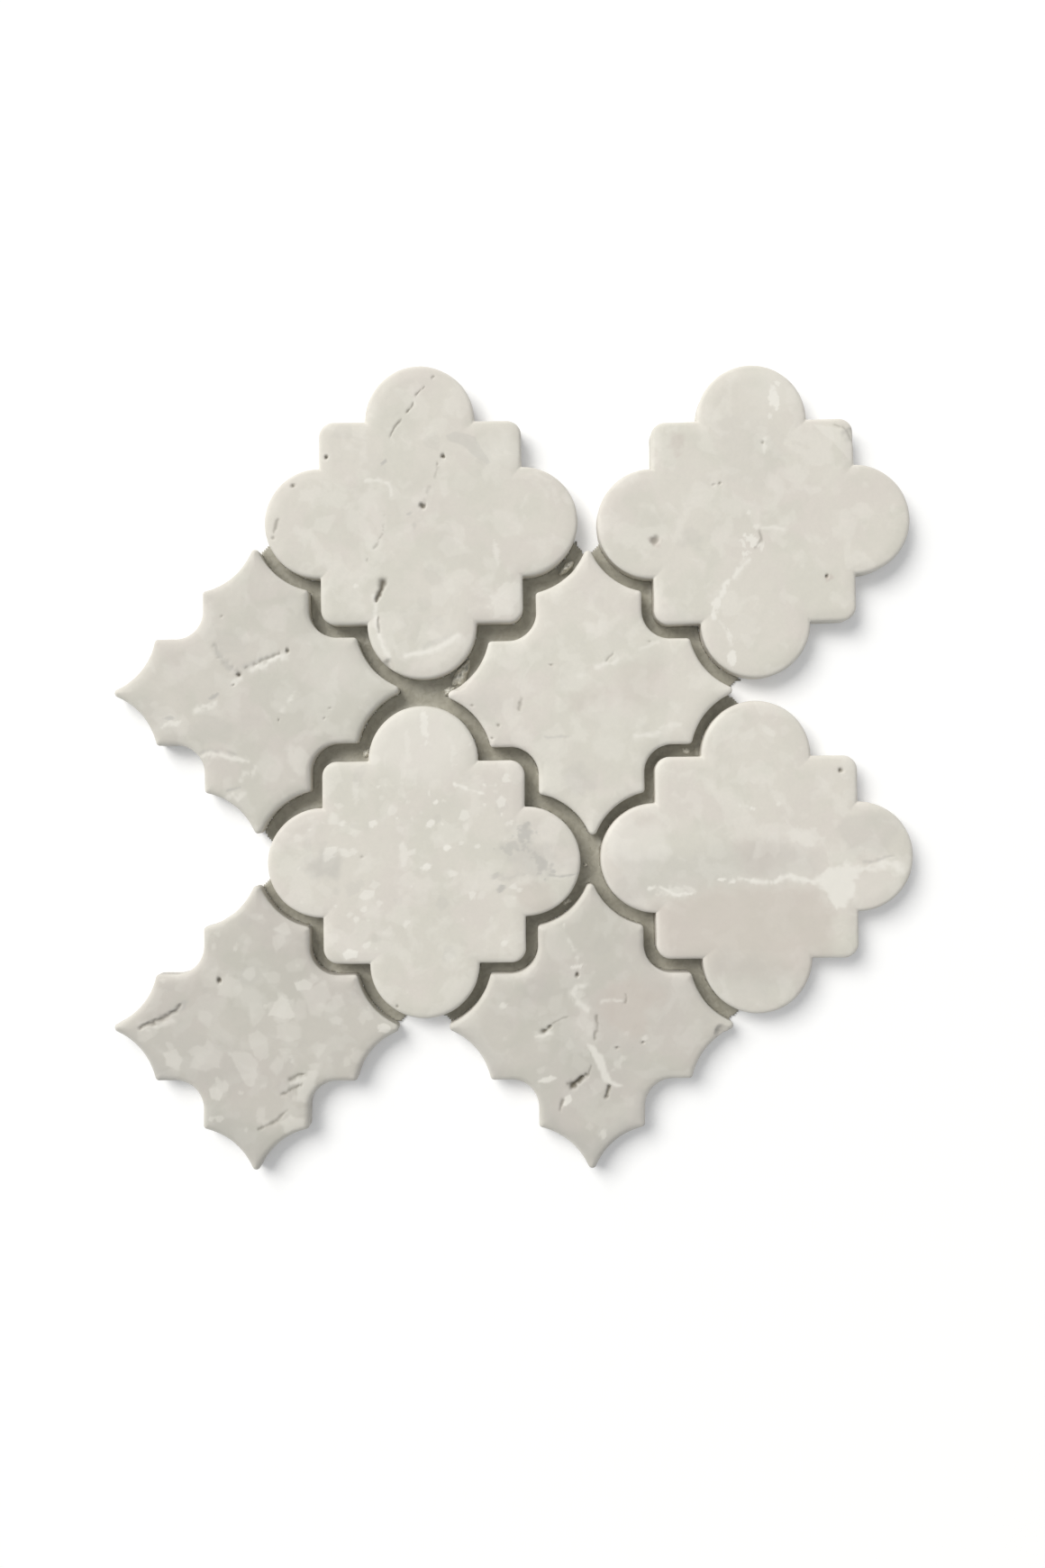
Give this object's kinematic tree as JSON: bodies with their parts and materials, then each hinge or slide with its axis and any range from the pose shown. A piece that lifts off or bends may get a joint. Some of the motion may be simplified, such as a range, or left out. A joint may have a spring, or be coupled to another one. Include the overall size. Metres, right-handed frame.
{
  "type": "marble mosaic tile sheet",
  "caption": "Mosaic tile sheet of tumbled marble: interlocking clover and star pieces with open joints, set face up on a fibreglass backing net.",
  "frame": {"origin": "middle of the sheet's outline, on the plane that the back of the net lies on", "axes": "+X across the sheet, to the right in the picture; +Y up the sheet; +Z out of the finished face"},
  "size_m": [0.3032, 0.3054, 0.0107],
  "materials": {
    "marble": "tumbled, matt, cream with fine veins and pits",
    "net": "coated fibreglass strands, satin"
  },
  "bodies": {
    "root": {"clover_top_left": "marble", "clover_top_right": "marble", "clover_middle_left": "marble", "clover_middle_right": "marble", "star_left": "marble", "star_centre": "marble", "star_bottom_left": "marble", "star_bottom_centre": "marble", "net_warp": "net", "net_weft": "net"}
  },
  "joints": []
}
